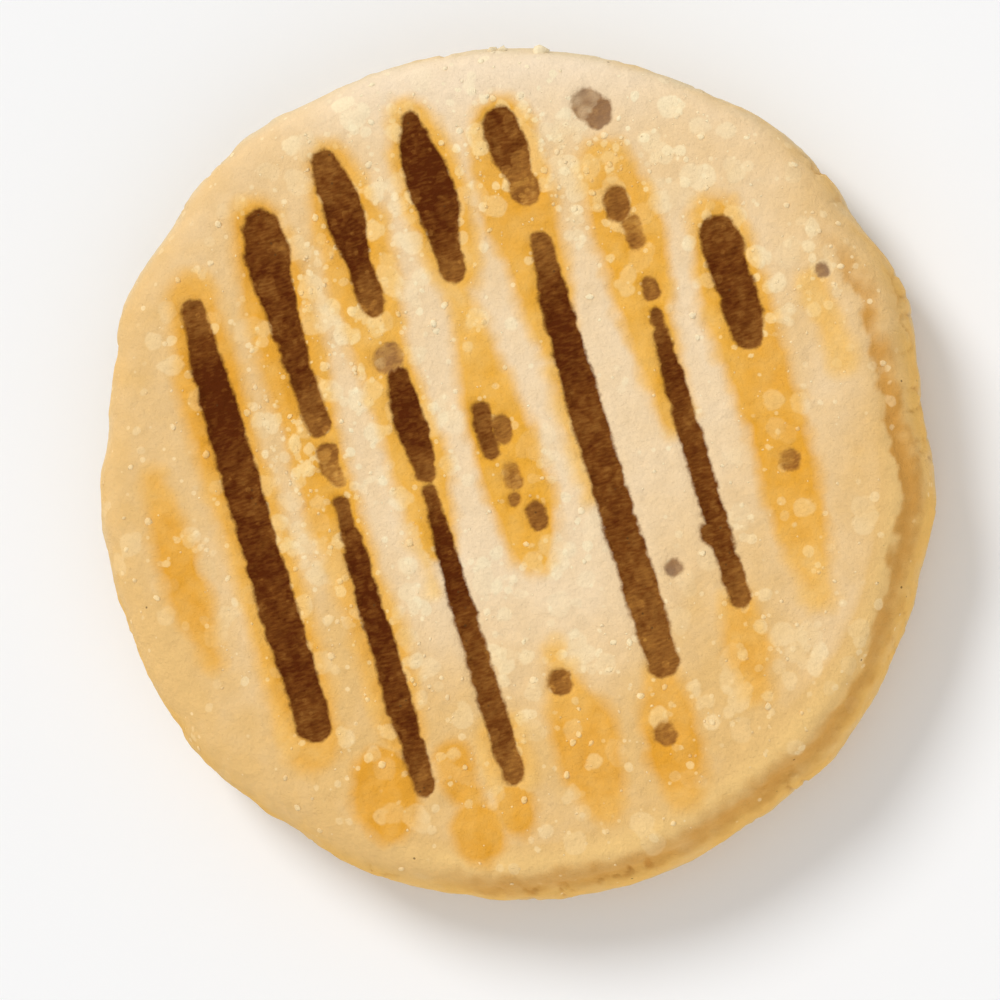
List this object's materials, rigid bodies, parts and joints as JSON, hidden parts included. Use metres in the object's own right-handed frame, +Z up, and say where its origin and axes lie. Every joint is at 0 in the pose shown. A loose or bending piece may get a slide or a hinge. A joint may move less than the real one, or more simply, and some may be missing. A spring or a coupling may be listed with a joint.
{
  "type": "arepa corn cake",
  "caption": "Round flat griddled maize cake with a wavy hand-patted rim, a creased shoulder and dark grill marks across its golden top.",
  "frame": {"origin": "centre of the cake's box, on its underside", "axes": "+Z up out of the grilled top face, +Y towards the end of the cake where the grill marks are darkest, +X across"},
  "size_m": [0.114, 0.1156, 0.0179],
  "materials": {
    "maize_crust": "dry griddled maize crust: cream to golden tan with dark brown grill marks, pale grains and a matt surface"
  },
  "bodies": {
    "root": {"arepa_cake": "maize_crust"}
  },
  "joints": []
}
